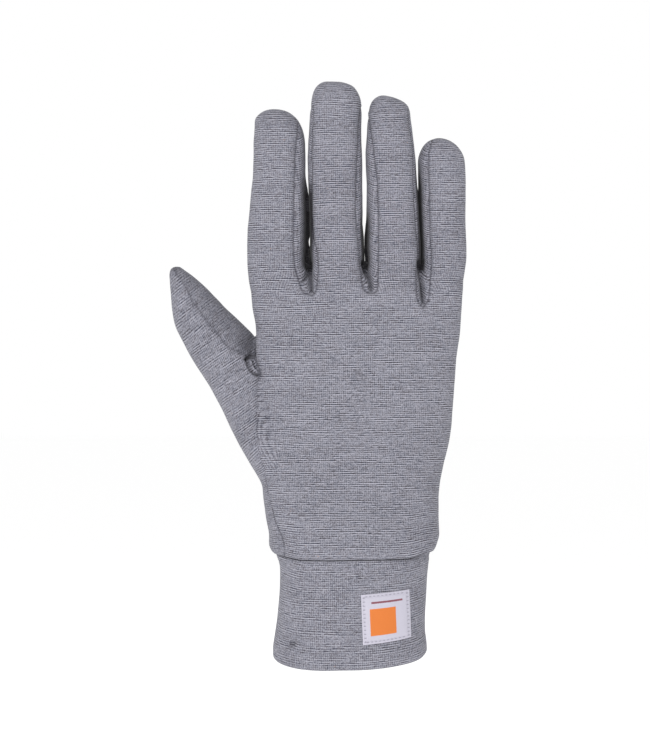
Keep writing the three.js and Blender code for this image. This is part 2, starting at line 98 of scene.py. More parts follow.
# Each finger's outline: height, left edge and right edge. The last row is the tip.
FINGERS = {
    "index": {
        "depth": 19.5, "arch": 0.4, "spread": -2.4,
        "rows": [
            (150, -39, -21), (160, -43.4, -18.0), (166, -44.5, -18.0), (172, -45.0, -18.3),
            (179, -45.2, -18.2), (188, -44.9, -18.0), (197, -44.0, -18.0), (205.5, -43.3, -18.5),
            (211, -42.8, -19.5), (223, -42.6, -19.8), (229, -42.4, -20.1), (233.2, -42.1, -21.2),
            (236.7, -41.9, -22.9), (239.2, -40.0, -25.4), (240.9, -37.2, -28.6), (241.5, -35.0, -31.2),
        ],
    },
    "middle": {
        "depth": 20.0, "arch": -0.8, "spread": -0.8,
        "rows": [
            (150, -14, 4), (160, -16.6, 6.2), (172, -17.3, 6.3), (179, -17.5, 6.1),
            (188, -17.6, 5.8), (197, -17.8, 5.6), (205.5, -18.3, 5.5), (214, -18.5, 5.5),
            (223, -18.4, 5.3), (232, -18.0, 5.0), (240, -17.5, 5.1), (243.6, -17.1, 5.2),
            (247.1, -16.6, 4.4), (249.8, -15.7, 3.0), (252.0, -14.2, 0.9), (253.6, -11.9, -3.4),
        ],
    },
    "ring": {
        "depth": 19.0, "arch": -0.6, "spread": 0.8,
        "rows": [
            (150, 9, 29), (160, 7.6, 31.0), (172, 6.9, 31.2), (180, 6.6, 31.2),
            (188, 6.7, 30.7), (197, 7.0, 30.2), (205.5, 7.3, 29.8), (214, 7.0, 29.1),
            (223, 6.8, 28.3), (230, 7.4, 27.7), (236, 7.9, 26.9), (240.7, 8.4, 26.4),
            (243.8, 9.2, 24.6), (245.7, 10.4, 21.4), (247.0, 12.2, 17.2), (247.5, 13.6, 15.2),
        ],
    },
    "little": {
        "depth": 17.0, "arch": 1.8, "spread": 2.6,
        "rows": [
            (150, 34, 47), (160, 32.0, 49.4), (166, 31.6, 49.8), (172, 31.4, 50.9),
            (179, 31.3, 51.4), (188, 31.0, 51.1), (197, 30.7, 51.0), (205.5, 30.5, 51.1),
            (213.6, 30.2, 50.9), (219.7, 30.3, 50.4), (223.5, 31.5, 48.8), (226.2, 33.4, 46.2),
            (227.8, 35.6, 43.4), (228.6, 37.8, 41.2),
        ],
    },
}
# The fingers' lean to the palm: how far, from what height and over what length
FINGER_BEND = 5.0
BEND_LOW = 159.4
BEND_LONG = 94.0
# The depth at the knuckles, and the heights between which it thins to a finger's own
KNUCKLE_BACK = 13.4
KNUCKLE_PALM = 11.4
KNUCKLE_LOW = 158.0
KNUCKLE_TOP = 188.0
# The fingers are made spread, so that the remesh keeps them apart, and are closed afterwards
WEB_LOW = 150.0
WEB_HIGH = 171.0
GAP_HALF = 1.0
GAP_TOP = 228.0
# How far up each pair of fingers touches, deep in the gap, and where light shows through
TOUCH = [(205, 183), (192, 0), (211, 0)]
TOUCH_NEAR = 1.1
# Which wall of each gap leans away from the back of the hand, how far, and up to what height
LEAN = [(-1, 1.5, 216), (1, 1.0, 204), (1, 0.5, 226)]
# How wide the painted shade reaches inside each gap
SHADE = [4.0, 3.0, 1.9]

# The thumb's outline: height, left edge, right edge, half depth and middle
THUMB = [
    (66, -37.5, -26, 9, 3),
    (76, -38.9, -22, 12.5, 2.5),
    (85, -43.9, -22, 14.5, 2.2),
    (94, -49.2, -24, 15.0, 2.4),
    (103, -53.7, -27, 14.6, 3.0),
    (111, -57.7, -30, 14.0, 3.6),
    (120, -62.7, -33.5, 13.0, 4.4),
    (129, -68.5, -37.5, 12.2, 5.2),
    (137, -73.0, -40.5, 11.4, 5.8),
    (141, -75.0, -42.2, 10.9, 6.1),
    (144.5, -76.8, -45.3, 10.4, 6.4),
    (148.3, -78.0, -49.3, 9.8, 6.8),
    (153, -78.8, -54.5, 9.1, 7.1),
    (157.5, -79.8, -59.4, 8.4, 7.5),
    (162, -80.9, -64.6, 7.6, 7.9),
    (166, -81.9, -69.6, 6.6, 8.2),
    (169, -82.4, -73.4, 5.3, 8.5),
    (171.2, -81.9, -76.4, 3.8, 8.8),
    (172.4, -80.2, -78.0, 2.0, 9.0),
]

# Where the panels are sewn together: height and place across
FOURCHETTES = {
    "fourchette_index_middle": {
        "foot": 158.9,
        "left": [
            (158.9, -17.0), (159.7, -20.0), (165.5, -22.5), (173.4, -24.2), (187, -24.7),
            (211, -24.1), (220.4, -23.8), (230, -23.0), (236.7, -22.6), (240, -20), (245, -10),
        ],
        "right": [
            (158.9, -16.6), (160, -15.4), (163.7, -14.6), (170.3, -14.2), (179, -14.9),
            (184, -16.1), (210, -16.9), (236, -16.4), (246, -15.8), (252, -14.6), (255, -20),
        ],
    },
    "fourchette_middle_ring": {
        "foot": 159.8,
        "left": [
            (159.8, 7.6), (160.6, 6.4), (162.4, 5.4), (168, 4.7), (179, 3.9),
            (187, 3.4), (197, 2.6), (210, 2.9), (225, 3.6), (240, 4.6), (246, 6.5), (255, 10),
        ],
        "right": [
            (159.8, 10.2), (160.5, 11.4), (164, 11.9), (187, 12.1), (207.7, 11.8),
            (215, 10.9), (224.4, 9.8), (231.2, 8.9), (237, 8.2), (243, 8.0), (248, 5),
        ],
    },
    "fourchette_ring_little": {
        "foot": 153.8,
        "left": [
            (153.8, 31.4), (155.3, 30.0), (160.2, 28.8), (166.9, 28.8), (172.5, 29.4),
            (177.8, 29.8), (188.8, 28.8), (205, 28.0), (225, 27.2), (240, 25.4), (246, 30),
        ],
        "right": [
            (153.8, 32.2), (156.2, 33.8), (160.2, 34.5), (166.8, 35.0), (176.4, 35.2),
            (185, 34.6), (199, 34.5), (211, 34.2), (219, 34.4), (224, 35.2), (227.2, 36.2), (231, 37),
        ],
    },
}
THUMB_SEAM_BACK = [
    (38, -28.4), (45, -28.6), (53.7, -30.0), (60.7, -32.8), (68.2, -34.6), (73.5, -36.0),
    (84.5, -37.9), (88, -39.3), (97, -40.4), (110, -40.5), (121, -40.4), (124, -39.4),
    (128, -40.6), (132.4, -41.9), (138, -41.6), (142.6, -41.5), (145, -44.4), (149, -47.2),
    (158, -51.5), (165, -56), (180, -60),
]
THUMB_SEAM_PALM = [
    (38, -30.0), (45, -32.4), (60, -35.4), (75, -37.0), (84, -36.6), (91, -31.6),
    (102, -26.6), (112, -27.2), (119, -30.6), (130, -36.6), (136, -39.4), (142.6, -41.5),
    (145, -44.4), (149, -47.2), (158, -51.5), (165, -56), (180, -60),
]
THUMB_LENGTH_SEAM = [
    (130, -40.0), (132.4, -44.2), (136, -52.4), (141.7, -57.6), (148.3, -63.1), (152.2, -66.0),
    (156.2, -69.1), (162.4, -72.0), (166, -74.6), (170, -77.4), (176, -80.0),
]
THUMB_LOW = 66
THUMB_BEND = 166
INNER_LOW = 130.5
# The left part of the hand, which holds the thumb: its right edge and its top
THUMB_SIDE = -12
THUMB_TOP = 178
SPLIT_SHIFT = 1.5

# Cuff: height, left edge, right edge and depth of the outer face
CUFF = [
    (-3, -33.2, 33.6, 22.4),
    (0, -33.8, 33.9, 22.6),
    (4, -33.8, 33.7, 22.5),
    (10, -33.0, 33.1, 22.3),
    (18.5, -31.8, 33.3, 22.1),
    (27, -31.0, 33.7, 21.9),
    (36, -30.8, 34.2, 21.6),
    (41, -31.3, 34.7, 21.4),
    (44, -32.6, 35.2, 21.4),
    (46, -33.6, 35.8, 21.4),
]
# The hem's height in the middle, and how far it bends at the front, at the rear and to the right
HEM_MIDDLE = 1.3
HEM_FRONT = 4.8
HEM_REAR = 2.0
HEM_RISE = 1.2

# The small dent low on the cuff: place, depth and slant
DENT_PLACE = (-25.4, 7.6)
DENT_DEPTH = 1.6
DENT_SLANT = 0.25

LABEL_ACROSS = (4.9, 25.7)
LABEL_HEIGHTS = (10.5, 30.9)
LABEL_TILT = 0.04
LABEL_THICKNESS = 0.5
LABEL_HEM = 1.15

# The knit: one course up, one wale across, how many millimetres a band of courses takes, and its yarns; then
# the dark tint of the seam lines, and the near-black of the painted shade laid deep in the finger gaps, along
# the deeper folds, in the thumb's crotch and in the cuff's dent
COURSE = 0.94
WALE = 0.88
GROUP = 6.0
CHARCOAL = (0.042, 0.037, 0.046, 1)
INK = (0.038, 0.042, 0.062, 1)
PALE = (0.427, 0.4245, 0.488, 1)
FLECK = (0.42, 0.27, 0.2, 1)
SEAM_TINT = (0.035, 0.032, 0.042, 1)
# Painted shade: near-black for the places inside the finger gaps, folds, crotch and dent where shade falls
PAINTED_SHADE_TINT = (0.008, 0.007, 0.009, 1)

# The label's satin and its two colours
SATIN = (0.56, 0.54, 0.63)
SATIN_LOW = (0.46, 0.44, 0.53, 1)
SATIN_HIGH = (0.66, 0.64, 0.73, 1)
ORANGE = (0.8, 0.22, 0.03, 1)
ORANGE_LOW = (0.66, 0.16, 0.016, 1)
MAROON = (0.24, 0.075, 0.1, 1)
THREAD = (0.33, 0.32, 0.38)

# Light, floor and camera, in metres
AMBIENT = 0.62
FLOOR_GLOW = 0.43
FLOOR_HEIGHT = -0.12
CAMERA_PLACE = (-0.011, -1.0, 0.1241)
CAMERA_LENS = 36 * 1000 / 330


class Line:
    """A smooth line through rows of a height and one column beside it."""

    def __init__(self, rows, column=1):
        heights = np.array([row[0] for row in rows], float)
        places = np.array([row[column] for row in rows], float)
        slopes = np.gradient(places, heights)
        steps = np.diff(places) / np.diff(heights)
        near = np.stack([np.append(steps[:1], steps), np.append(steps, steps[-1:])])
        limit = np.where(near[0] * near[1] > 0, 2.5 * np.abs(near).min(0), 0)
        limit[[0, -1]] = np.abs(slopes[[0, -1]])
        slopes = np.clip(slopes, -limit, limit)
        self.heights = np.linspace(heights[0], heights[-1], 600)
        low = np.clip(np.searchsorted(heights, self.heights, "right") - 1, 0, len(rows) - 2)
        span = heights[low + 1] - heights[low]
        t = (self.heights - heights[low]) / span
        rise = places[low + 1] - places[low]
        leave = slopes[low] * span - rise
        arrive = rise - slopes[low + 1] * span
        self.places = places[low] + t * rise + t * (1 - t) * (leave * (1 - t) + arrive * t)

    def __call__(self, z):
        return np.interp(z, self.heights, self.places)


def smoothstep(low, high, value):
    t = np.clip((value - low) / (high - low), 0, 1)
    return t * t * (3 - 2 * t)


def bend_at(z):
    """How far the fingers lean to the palm at a height."""
    return FINGER_BEND * np.clip((z - BEND_LOW) / BEND_LONG, 0, None) ** 2


def split_at(z):
    """Where the back of the glove meets the palm at the sides."""
    return SPLIT_SHIFT + bend_at(z)


def around(section, turn):
    """The place on a level section at an angle from +X."""
    left, right, back, palm, square = section
    c, s = math.cos(turn), math.sin(turn)
    x = (left + right) / 2 + (right - left) / 2 * math.copysign(abs(c) ** (2 / square), c)
    y = (back + palm) / 2 + (palm - back) / 2 * math.copysign(abs(s) ** (2 / square), s)
    return x, y


def edges_of(ring):
    """The edges that join a ring's points to each other, in the ring's own order."""
    keep = set(ring)
    edges = dict.fromkeys(e for v in ring for e in v.link_edges)
    return [e for e in edges if all(v in keep for v in e.verts)]


def next_ring(bm, ring):
    """Pulls a new ring out of an open one, with its points in the same order."""
    made = bmesh.ops.extrude_edge_only(bm, edges=edges_of(ring))["geom"]
    fresh = {v for v in made if isinstance(v, bmesh.types.BMVert)}
    return [next(e.other_vert(v) for e in v.link_edges if e.other_vert(v) in fresh) for v in ring]


def tube(bm, heights, section_at, sides):
    """A closed tube through level sections, pulled up from one circle."""
    ring = first = bmesh.ops.create_circle(bm, segments=sides, radius=1)["verts"]
    turns = [math.atan2(v.co.y, v.co.x) for v in ring]
    for k, z in enumerate(heights):
        if k:
            ring = next_ring(bm, ring)
        section = section_at(z)
        for v, turn in zip(ring, turns):
            v.co = (*around(section, turn), z)
    for end in (first, ring):
        bmesh.ops.edgeloop_fill(bm, edges=edges_of(end))


def columns(rows):
    return [Line(rows, column) for column in range(1, len(rows[0]))]


def spread_of(z):
    """How much of the fingers' spreading there is at a height."""
    return smoothstep(WEB_LOW, WEB_HIGH, z)


def tip_share(z, top):
    """How much of a finger's depth is left near its tip."""
    t = np.clip((z - top + TIP_HEIGHT) / TIP_HEIGHT, 0, 1)
    return (1 - t ** TIP_ROUND) ** (1 / TIP_ROUND)


def hand_form(bm):
    """The hand up to the webs, where it closes in a soft shoulder."""
    left, right, back, palm = columns(HAND)
    names = list(FINGERS)
    out_left = FINGERS[names[0]]["spread"]
    out_right = FINGERS[names[-1]]["spread"]

    def section(z):
        spread = spread_of(z)
        t = max(0.0, (z - HAND_SHOULDER) / (HAND_TOP - HAND_SHOULDER))
        share = math.sqrt(max(0.02, 1 - t * t))
        draw = SHOULDER_DRAW * (1 - math.sqrt(max(0.0, 1 - t ** 4)))
        low, high = left(z) + out_left * spread + draw, right(z) + out_right * spread - draw
        return low, high, back(z) * share, palm(z) * share, HAND_ROUND

    shares = (0.15, 0.3, 0.45, 0.6, 0.72, 0.82, 0.9, 0.96, 1)
    shoulder = [HAND_SHOULDER + (HAND_TOP - HAND_SHOULDER) * t for t in shares]
    tube(bm, [*np.arange(HAND_LOW, HAND_SHOULDER, 2.0), *shoulder], section, 120)


def finger_form(bm, finger):
    left, right = columns(finger["rows"])
    low, top = finger["rows"][0][0], finger["rows"][-1][0]
    root = (finger["rows"][2][1] + finger["rows"][2][2]) / 2
    hand_share = (1 - (abs(root - HAND_MIDDLE) / HAND_HALF) ** HAND_ROUND) ** (1 / HAND_ROUND)

    def section(z):
        shift = finger["spread"] * spread_of(z)
        deep = finger["depth"] / 2
        knuckle = 1 - smoothstep(KNUCKLE_LOW, KNUCKLE_TOP, z)
        share = max(0.16, tip_share(z, top)) * (0.7 + 0.3 * smoothstep(low, 160, z))
        middle = finger["arch"] * (1 - knuckle) + bend_at(z)
        back = middle - share * (deep + (KNUCKLE_BACK * hand_share - deep) * knuckle)
        palm = middle + share * (deep + (KNUCKLE_PALM * hand_share - deep) * knuckle)
        return left(z) + shift, right(z) + shift, back, palm, FINGER_ROUND

    shares = (0, 0.15, 0.3, 0.44, 0.57, 0.68, 0.78, 0.86, 0.92, 0.97, 1)
    tip = [top - TIP_HEIGHT * (1 - t) for t in shares]
    tube(bm, [*np.arange(low, top - TIP_HEIGHT, 2.0), *tip], section, 64)


def thumb_form(bm):
    left, right, deep, middle = columns(THUMB)
    tip = [THUMB_BEND, 167.5, 169, 170.2, 171.2, 171.8, 172.2]

    def section(z):
        return left(z), right(z), middle(z) - deep(z), middle(z) + deep(z), FINGER_ROUND

    tube(bm, [*np.arange(THUMB_LOW, THUMB_BEND, 2.0), *tip], section, 72)


def apply_modifiers(obj):
    """Leaves the mesh as its modifiers make it."""
    bpy.context.view_layer.update()
    result = bpy.data.meshes.new_from_object(obj.evaluated_get(bpy.context.evaluated_depsgraph_get()))
    obj.modifiers.clear()
    obj.data = result
    return obj


def object_of(bm, name):
    mesh = bpy.data.meshes.new(name)
    bm.to_mesh(mesh)
    bm.free()
    obj = bpy.data.objects.new(name, mesh)
    bpy.context.scene.collection.objects.link(obj)
    return obj


def valleys():
    """The middle lines between the fingers, as they are after closing, with the spreads beside them."""
    spreads = [finger["spread"] for finger in FINGERS.values()]
    lines = []
    rows = [finger["rows"] for finger in FINGERS.values()]
    for before, after in zip(rows, rows[1:]):
        right, left = Line(before, 2), Line(after, 1)
        lines.append(lambda z, right=right, left=left: (right(z) + left(z)) / 2)
    return lines, spreads


def close_fingers(co):
    """Moves the spread fingers to their places, nearly side by side."""
    x, z = co[:, 0], co[:, 2]
    lines, spreads = valleys()
    amount = spread_of(z)
    shift = np.full(len(co), spreads[0])
    for line, before, after in zip(lines, spreads, spreads[1:]):
        middle = line(np.clip(z, WEB_LOW, GAP_TOP)) + (before + after) / 2 * amount
        t = np.clip((x - middle) / (2 * GAP_HALF) + 0.5, 0, 1)
        shift += (after - before) * t
    co[:, 0] = x - shift * amount
    return co


def touch_fingers(co):
    """Leans the fingers on each other low down, so the gaps are dark inside."""
    x, y, z = co.T
    rise = y - bend_at(z)
    deep = smoothstep(0.0, 2.5, rise) * (1 - smoothstep(5, 8, rise))
    for line, (top, window), (side, lean, lean_top) in zip(valleys()[0], TOUCH, LEAN):
        away = x - line(np.clip(z, 165, GAP_TOP))
        front = smoothstep(-9, -5.5, rise) * (1 - smoothstep(-1, 2, rise))
        front *= smoothstep(166, 175, z) * (1 - smoothstep(lean_top - 14, lean_top, z))
        x += side * lean * front * (1 - smoothstep(0, 6, np.abs(away))) * (away * side > 0)
        away = x - line(np.clip(z, 165, GAP_TOP))
        high = smoothstep(168, 174, z) * (1 - smoothstep(top - 8, top + 4, z))
        near = 1 - smoothstep(1.2, 3.2, np.abs(away))
        amount = deep * high * near * (1 - np.exp(-((z - window) / 1.5) ** 2))
        moved = np.sign(away) * np.maximum(np.abs(away) - TOUCH_NEAR, np.minimum(np.abs(away), 0.03))
        x += (moved - away) * amount
    co[:, 0] = x
    return co


def coordinates(mesh):
    co = np.empty(len(mesh.vertices) * 3)
    mesh.vertices.foreach_get("co", co)
    return co.reshape(-1, 3)


def put_back(mesh, co):
    mesh.vertices.foreach_set("co", co.ravel())
    mesh.update()


def glove_skin():
    """The outer face of the whole glove without its cuff, in one closed skin."""
    bm = bmesh.new()
    hand_form(bm)
    for finger in FINGERS.values():
        finger_form(bm, finger)
    thumb_form(bm)
    bmesh.ops.recalc_face_normals(bm, faces=bm.faces)
    skin = object_of(bm, "skin")
    remesh = skin.modifiers.new("even", "REMESH")
    remesh.mode = "VOXEL"
    remesh.voxel_size = VOXEL
    soften = skin.modifiers.new("soft", "SMOOTH")
    soften.factor = 0.5
    soften.iterations = 4
    apply_modifiers(skin)
    co = coordinates(skin.data)
    x, z = co[:, 0], co[:, 2]
    root = smoothstep(142, 152, z) * (1 - smoothstep(166, 178, z))
    root *= smoothstep(-44, -40, x) * (1 - smoothstep(46, 49.5, x))
    group = skin.vertex_groups.new(name="roots")
    for i in np.flatnonzero(root > 0.01):
        group.add([int(i)], float(root[i]), "REPLACE")
    blend = skin.modifiers.new("roots", "SMOOTH")
    blend.factor = 0.5
    blend.iterations = 50
    blend.vertex_group = "roots"
    apply_modifiers(skin)
    put_back(skin.data, touch_fingers(close_fingers(coordinates(skin.data))))
    return skin


def cut_along(bm, faces, line, axis=0):
    """Cuts faces where x, or y, is on the line. The line is made straight for the cut."""
    verts = {v for f in faces for v in f.verts}
    edges = {e for f in faces for e in f.edges}
    for v in verts:
        v.co[axis] -= float(line(v.co.z))
        if abs(v.co[axis]) < SNAP:
            v.co[axis] = 0
    normal = Vector((0, 0, 0))
    normal[axis] = 1
    cut = bmesh.ops.bisect_plane(bm, geom=list(faces) + list(edges) + list(verts), dist=1e-5,
                                 plane_co=(0, 0, 0), plane_no=normal)
    verts |= {v for v in cut["geom_cut"] if isinstance(v, bmesh.types.BMVert)}
    for v in verts:
        v.co[axis] += float(line(v.co.z))


def faces_where(bm, wanted):
    """The faces whose middle is a wanted place."""
    return [f for f in bm.faces if wanted(f.calc_center_median())]


def middle_of(finger):
    left, right = columns(finger["rows"])
    return lambda z: (left(z) + right(z)) / 2


def cut_panels(skin):
    """Cuts the skin along its seams, and marks each face with its panel's number."""
    bm = bmesh.new()
    bm.from_mesh(skin.data)
    low = Vector((SEAM_TILT, SEAM_DROP, -1)).normalized()
    everything = list(bm.verts) + list(bm.edges) + list(bm.faces)
    bmesh.ops.bisect_plane(bm, geom=everything, dist=1e-5, plane_co=(SEAM_MIDDLE, 0, CUFF_TOP + SEAM_LIFT),
                           plane_no=low, clear_outer=True)
    lines, _ = valleys()
    middles = [middle_of(finger) for finger in FINGERS.values()]
    for k, space in enumerate(FOURCHETTES.values()):
        foot = space["foot"]
        left, right = Line(space["left"]), Line(space["right"])
        near = faces_where(bm, lambda c: abs(c.z - foot) < 2 and left(foot) - 4 < c.x < right(foot) + 4)
        cut_along_level(bm, near, foot)
        for line, here, there in ((left, middles[k], lines[k]), (right, lines[k], middles[k + 1])):
            between = faces_where(bm, lambda c: c.z > foot and here(c.z) - 0.3 < c.x < there(c.z) + 0.3)
            cut_along(bm, between, line)
    seam_back, seam_palm, length_seam = THUMB_LINES

    def by_the_thumb(c):
        return c.x < THUMB_SIDE and c.z < THUMB_TOP

    cut_along(bm, faces_where(bm, by_the_thumb), split_at, axis=1)
    back = faces_where(bm, lambda c: by_the_thumb(c) and c.y < split_at(c.z))
    palm = faces_where(bm, lambda c: by_the_thumb(c) and c.y >= split_at(c.z))
    cut_along(bm, back, seam_back)
    cut_along(bm, palm, seam_palm)
    rest = faces_where(bm, lambda c: (c.x > THUMB_SIDE or c.z > THUMB_TOP) and panel_of(c).startswith("hand"))
    cut_along(bm, rest, split_at, axis=1)
    thumb = faces_where(bm, lambda c: c.z > INNER_LOW - 2.5 and panel_of(c).startswith("thumb"))
    cut_along(bm, thumb, length_seam)
    layer = bm.faces.layers.int.new("panel")
    for f in bm.faces:
        f[layer] = PANELS.index(panel_of(f.calc_center_median()))
    return bm


def cut_along_level(bm, faces, z):
    verts = {v for f in faces for v in f.verts}
    edges = {e for f in faces for e in f.edges}
    for v in verts:
        if abs(v.co.z - z) < SNAP:
            v.co.z = z
    bmesh.ops.bisect_plane(bm, geom=list(faces) + list(edges) + list(verts), dist=1e-5,
                           plane_co=(0, 0, z), plane_no=(0, 0, 1))


PANELS = ["hand_back", "hand_palm", *FOURCHETTES, "thumb_outer", "thumb_inner"]
SEAM_LINES = {name: (Line(s["left"]), Line(s["right"])) for name, s in FOURCHETTES.items()}
THUMB_LINES = Line(THUMB_SEAM_BACK), Line(THUMB_SEAM_PALM), Line(THUMB_LENGTH_SEAM)


def panel_of(place):
    """The panel that a place on the skin belongs to."""
    x, y, z = place
    side_back = y < split_at(z)
    back, palm, length = THUMB_LINES
    if z < THUMB_TOP and x < (back if side_back else palm)(z):
        inner = z > INNER_LOW and x > length(z)
        return "thumb_inner" if inner else "thumb_outer"
    for name, (left, right) in SEAM_LINES.items():
        if z > FOURCHETTES[name]["foot"] and left(z) < x < right(z):
            return name
    return "hand_back" if side_back else "hand_palm"


# Folds pressed into the back of the cloth, or raised where the depth is negative: depth, width
# and the places across and up that the fold runs through
FOLDS = [
    (2.2, 1.1, [(-18.2, 173.5), (-18.0, 170), (-17.4, 167), (-17.0, 163), (-17.0, 160.5)]),
    (1.0, 1.0, [(-18.0, 170.5), (-19.4, 167.5), (-20.6, 165)]),
    (-0.5, 0.9, [(-21.5, 163), (-19.4, 166)]),
    (2.2, 1.1, [(6.3, 173.5), (6.8, 169.6), (8.2, 166.6), (8.9, 163), (9.0, 161.5)]),
    (-0.5, 0.8, [(5.2, 163.4), (7.2, 166.2)]),
    (-0.4, 0.8, [(6.2, 161.4), (8.0, 163.6)]),
    (2.0, 1.0, [(31.0, 174), (30.6, 168), (31.2, 163), (31.6, 158.5), (31.9, 155.5)]),
    (-0.35, 2.6, [(-19, 156.6), (-15, 156.4)]),
    (-0.35, 2.6, [(6, 157.2), (11, 157.0)]),
    (-0.3, 2.4, [(29, 150.8), (34, 150.8)]),
    (3.0, 1.0, [(-43.0, 133.4), (-44.0, 132.2), (-45.2, 131.4)]),
    (1.3, 0.6, [(-45.2, 131.0), (-44.8, 128.6), (-43.7, 126.2), (-41.8, 124.6), (-40.2, 124.2)]),
    (-1.3, 0.6, [(-44.0, 130.2), (-43.5, 128.0), (-42.4, 126.2), (-40.8, 125.4)]),
    (0.8, 0.45, [(-42.9, 130.8), (-42.5, 128.8), (-41.5, 127.0)]),
    (-0.6, 0.5, [(-41.9, 131.0), (-41.5, 129.0), (-40.8, 127.8)]),
]
VALLEY_DEPTH = 3.2


def along_path(x, z, path):
    """The distance of each place from a path of short straight lines."""
    best = np.full(len(x), 1e9)
    for (x0, z0), (x1, z1) in zip(path, path[1:]):
        dx, dz = x1 - x0, z1 - z0
        t = np.clip(((x - x0) * dx + (z - z0) * dz) / (dx * dx + dz * dz), 0, 1)
        best = np.minimum(best, np.hypot(x - x0 - t * dx, z - z0 - t * dz))
    return best


def unevenness(co, scale, seed):
    """Smooth soft noise from minus one to one, for cloth that never lies quite even."""
    shift = Vector((seed * 17.3, seed * 5.1, seed * 9.7))
    return np.array([noise.noise(Vector(c) / scale + shift) for c in co])


def shape_cloth(bm):
    """Sinks the seams, pinches the webs and lays the small folds, and keeps on the points the seam lines'
    mark and the painted shade for the gaps, folds and crotch.
    """
    layer = bm.faces.layers.int["panel"]
    seams = []
    for e in bm.edges:
        faces = e.link_faces
        if len(faces) == 1 or (len(faces) == 2 and faces[0][layer] != faces[1][layer]):
            seams += [v.co.copy() for v in e.verts]
    tree = kdtree.KDTree(len(seams))
    for i, place in enumerate(seams):
        tree.insert(place, i)
    tree.balance()
    bm.normal_update()
    mark = bm.verts.layers.float.new("seam")
    inside = bm.verts.layers.float.new("painted_shade")
    verts = list(bm.verts)
    co = np.array([v.co for v in verts])
    normal = np.array([v.normal for v in verts])
    x, y, z = co.T
    d = np.array([tree.find(v.co)[2] for v in verts])
    tops = [finger["rows"][-1][0] for finger in FINGERS.values()]
    top = np.full(len(x), tops[0])
    for line, height in zip(valleys()[0], tops[1:]):
        top = np.where(x > line(np.clip(z, WEB_LOW, GAP_TOP)), height, top)
    top = np.where(x < -46, THUMB[-1][0], top)
    seam = (1 - 0.8 * smoothstep(top - 16, top - 6, z)) * (0.45 + 0.55 * np.abs(normal[:, 1]))
    seam *= 0.35 + 0.65 * smoothstep(46, 49, z)
    seam *= 1 - 0.5 * (x < -34) * (1 - smoothstep(118, 126, z)) * smoothstep(48, 52, z)
    out = seam * (-0.6 * np.exp(-(d / 0.8) ** 2) + 0.2 * np.exp(-((d - 3.2) / 1.8) ** 2))
    out += 0.28 * unevenness(co, 16, 1) + 0.1 * unevenness(co, 5, 2)
    front = smoothstep(0.1, 0.5, -normal[:, 1])
    for depth, width, path in FOLDS:
        out -= depth * np.exp(-(along_path(x, z, path) / width) ** 2) * front
    side = np.where(y < split_at(z), 1.0, -1.0)
    into = np.zeros(len(co))
    for (name, space), crease in zip(FOURCHETTES.items(), valleys()[0]):
        left, right = SEAM_LINES[name]
        foot = space["foot"]
        line = crease(np.clip(z, 168, 200))
        low, high = left(z), right(z)
        before, after = np.maximum(line - low, 0.5), np.maximum(high - line, 0.5)
        share = np.clip(np.where(x < line, (x - low) / before, (high - x) / after), 0, 1)
        share *= smoothstep(foot - 0.2, foot + 7, z) * (1 - smoothstep(foot + 15, foot + 24, z))
        into = np.maximum(into, VALLEY_DEPTH * share)
    # Painted shade: how near-black the cloth is painted deep between the fingers, along the deeper folds and
    # in the thumb's crotch, where shade falls; it is kept on the points for the material
    dark = np.zeros(len(co))
    rise = y - bend_at(z)
    for space, crease, (reach, _), wide in zip(FOURCHETTES.values(), valleys()[0], TOUCH, SHADE):
        away = np.abs(x - crease(np.clip(z, 165, GAP_TOP)))
        shade = (1 - smoothstep(0.35 * wide, wide, away)) * smoothstep(-8.0, -5.0, rise)
        shade *= 1 - smoothstep(6, 9, rise)
        low = space["foot"] + 7
        shade *= smoothstep(low, low + 7, z) * (1 - smoothstep(reach - 3, reach + 9, z))
        dark = np.maximum(dark, shade)
    for depth, width, path in FOLDS:
        if depth > 0.6:
            away = along_path(x, z, path) / (0.8 * width)
            dark = np.maximum(dark, 0.62 * np.exp(-away ** 2) * front)
    crotch = np.exp(-((x + 45.5) / 4.5) ** 2 - ((z - 137.5) / 5) ** 2) * (x < -41.4) * (z > 131)
    dark = np.maximum(dark, 0.5 * crotch * front)
    faint = 0.45 + 0.55 * smoothstep(46.5, 49, z)
    faint *= np.where((x < -46) & (z > 131), 0.6, 1.0)
    below = (x < -34) * (1 - smoothstep(118, 126, z))
    faint *= 1 - 0.65 * below
    for v, near, shade in zip(verts, np.exp(-(d / 0.4) ** 2) * faint, dark):
        v[mark] = near
        v[inside] = shade
    hook = seam_hook(x) * (1 - smoothstep(47.5, 56, z))
    for v, n, o, i, s, h in zip(verts, normal, out, into, side, hook):
        v.co += Vector(n) * o
        v.co.y += i * s
        v.co.z += h


def refine(bm):
    """Gives the cloth twice as many points at the webs and the thumb's crotch."""
    spots = [(-17.5, 166, 9), (8, 166, 8), (31.7, 162, 9), (-43, 129, 8)]
    edges = []
    for e in bm.edges:
        c = (e.verts[0].co + e.verts[1].co) / 2
        if c.y < 2 and any(math.hypot(c.x - x, c.z - z) < r for x, z, r in spots):
            edges.append(e)
    bmesh.ops.subdivide_edges(bm, edges=edges, cuts=1, use_grid_fill=True)


def main_panels():
    skin = glove_skin()
    bm = cut_panels(skin)
    bpy.data.objects.remove(skin)
    refine(bm)
    shape_cloth(bm)
    pieces = {}
    for number, name in enumerate(PANELS):
        part = bm.copy()
        mark = part.faces.layers.int["panel"]
        others = [f for f in part.faces if f[mark] != number]
        bmesh.ops.delete(part, geom=others, context="FACES")
        pieces[name] = object_of(part, name + "_cloth")
    bm.free()
    return pieces


